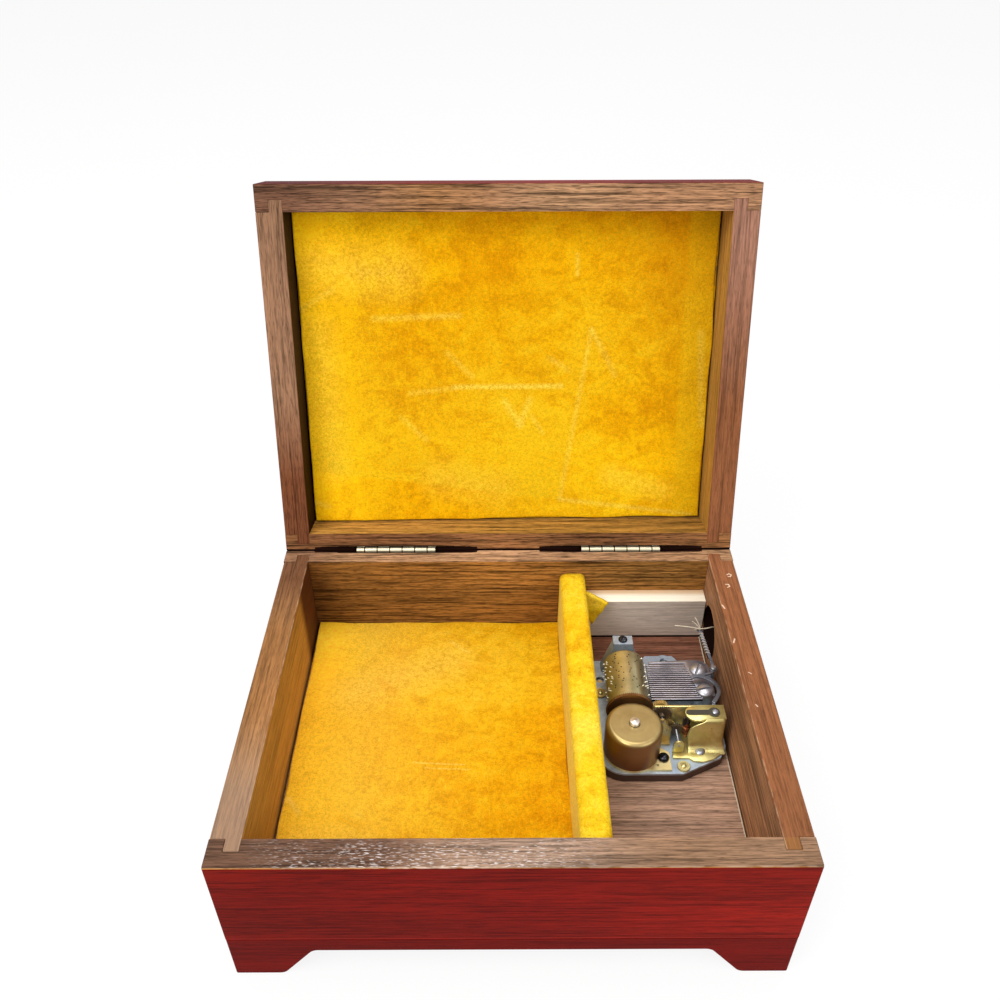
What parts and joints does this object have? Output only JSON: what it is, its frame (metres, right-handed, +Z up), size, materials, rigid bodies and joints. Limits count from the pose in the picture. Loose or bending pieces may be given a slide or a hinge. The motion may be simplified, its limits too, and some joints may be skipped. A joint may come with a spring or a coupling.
{
  "type": "musical jewelry box",
  "caption": "Footed wooden jewelry box with hinged velvet-lined lid, padded compartment and a wind-up comb music movement beside a velvet divider",
  "frame": {"origin": "middle of the footprint of the case, level with the undersides of the feet", "axes": "+X to the right, +Y to the back where the lid is hinged, +Z up"},
  "size_m": [0.153, 0.1716, 0.1673],
  "materials": {
    "case_wood": "stained red outside, walnut brown inside, satin varnish",
    "plinth_wood": "stained red, satin varnish",
    "floor_wood": "bare walnut, sanded",
    "divider_wood": "bare",
    "support_wood": "bare, raw sawn top edge",
    "lid_wood": "walnut brown inside, stained red outside, satin varnish",
    "card": "uncoated board",
    "velvet": "golden yellow velvet pile",
    "hinge_brass": "bright rolled",
    "zinc_casting": "blue grey plated casting",
    "drum_brass": "aged brushed",
    "cylinder_brass": "aged, bright pins",
    "dark_gear": "dark oxidised",
    "bright_brass": "stamped, lightly aged",
    "worm_bronze": "machined",
    "worm_plastic": "reddish brown",
    "fan_plastic": "dark",
    "spring_steel": "blued",
    "steel": "machined",
    "comb_steel": "ground",
    "screw_steel": "nickel plated",
    "black_steel": "black oxide",
    "key_steel": "nickel plated",
    "thread": "limp cotton thread"
  },
  "bodies": {
    "case": {"case_front": "case_wood", "case_back": "case_wood", "case_left": "case_wood", "case_right": "case_wood", "plinth_front": "plinth_wood", "plinth_back": "plinth_wood", "plinth_left": "plinth_wood", "plinth_right": "plinth_wood", "floor_board": "floor_wood", "divider_board": "divider_wood", "support_board": "support_wood", "floor_pad_card": "card", "floor_pad_velvet": "velvet", "divider_velvet": "velvet", "velvet_flap": "velvet", "hinge_left_case_leaf": "hinge_brass", "hinge_left_pin": "hinge_brass", "hinge_right_case_leaf": "hinge_brass", "hinge_right_pin": "hinge_brass", "base_casting": "zinc_casting", "spring_drum": "drum_brass", "drum_foot_plate": "drum_brass", "governor_bracket": "bright_brass", "wheel_cock": "bright_brass", "brass_standoffs": "bright_brass", "mainspring": "spring_steel", "endstone_leaf": "steel", "bracket_rivets": "steel", "lever_pivot": "steel", "comb": "comb_steel", "comb_screws": "screw_steel", "mounting_screws": "screw_steel", "black_screws": "black_steel"},
    "lid": {"lid_front_rail": "lid_wood", "lid_back_rail": "lid_wood", "lid_left_rail": "lid_wood", "lid_right_rail": "lid_wood", "lid_panel": "lid_wood", "lid_liner_card": "card", "lid_liner_velvet": "velvet", "hinge_left_lid_leaf": "hinge_brass", "hinge_right_lid_leaf": "hinge_brass"},
    "winding": {"winding_arbor": "steel", "winding_key": "key_steel", "great_wheel": "bright_brass"},
    "cylinder": {"pinned_cylinder": "cylinder_brass", "cylinder_gear": "dark_gear", "drive_pinion": "bright_brass", "cylinder_arbor": "steel"},
    "first_stage": {"first_pinion": "bright_brass", "first_wheel": "dark_gear", "first_arbor": "steel"},
    "middle_stage": {"middle_wheel": "bright_brass"},
    "last_stage": {"last_arbor": "steel", "worm_wheel": "worm_bronze"},
    "governor": {"worm": "worm_plastic", "air_brake": "fan_plastic"},
    "lever": {"stop_lever": "steel", "stop_thread": "thread"}
  },
  "joints": [
    {"name": "lid_hinge", "type": "hinge", "parent": "case", "child": "lid", "pos_m": [0, 0.05895, 0.0517], "axis": [-1, 0, 0], "range_deg": [-105.9, 0]},
    {"name": "cylinder_spin", "type": "hinge", "parent": "case", "child": "cylinder", "pos_m": [0.0375, 0.01515, 0.03205], "axis": [0, 1, 0], "continuous": true},
    {"name": "winding_spin", "type": "hinge", "parent": "case", "child": "winding", "pos_m": [0.0375, -0.00485, 0.02085], "axis": [0, 0, 1], "continuous": true},
    {"name": "first_stage_spin", "type": "hinge", "parent": "case", "child": "first_stage", "pos_m": [0.0468, 0.00315, 0.03345], "axis": [0, 1, 0], "continuous": true},
    {"name": "middle_stage_spin", "type": "hinge", "parent": "case", "child": "middle_stage", "pos_m": [0.04887, 0.00115, 0.0298], "axis": [0, 1, 0], "continuous": true},
    {"name": "last_stage_spin", "type": "hinge", "parent": "case", "child": "last_stage", "pos_m": [0.0516, -0.00005, 0.02855], "axis": [0, 1, 0], "continuous": true},
    {"name": "governor_spin", "type": "hinge", "parent": "case", "child": "governor", "pos_m": [0.05485, -0.00005, 0.02985], "axis": [0, 0, 1], "continuous": true},
    {"name": "lever_pivot_turn", "type": "hinge", "parent": "case", "child": "lever", "pos_m": [0.0659, 0.01935, 0.03435], "axis": [0, 0, 1], "range_deg": [-1.3, 4]}
  ],
  "couplings": [
    {"joint": "winding_spin", "follows": "cylinder_spin", "ratio": 0.55556},
    {"joint": "first_stage_spin", "follows": "cylinder_spin", "ratio": -3.2727},
    {"joint": "middle_stage_spin", "follows": "cylinder_spin", "ratio": 10.473},
    {"joint": "last_stage_spin", "follows": "cylinder_spin", "ratio": -20.945},
    {"joint": "governor_spin", "follows": "cylinder_spin", "ratio": -460.8}
  ]
}
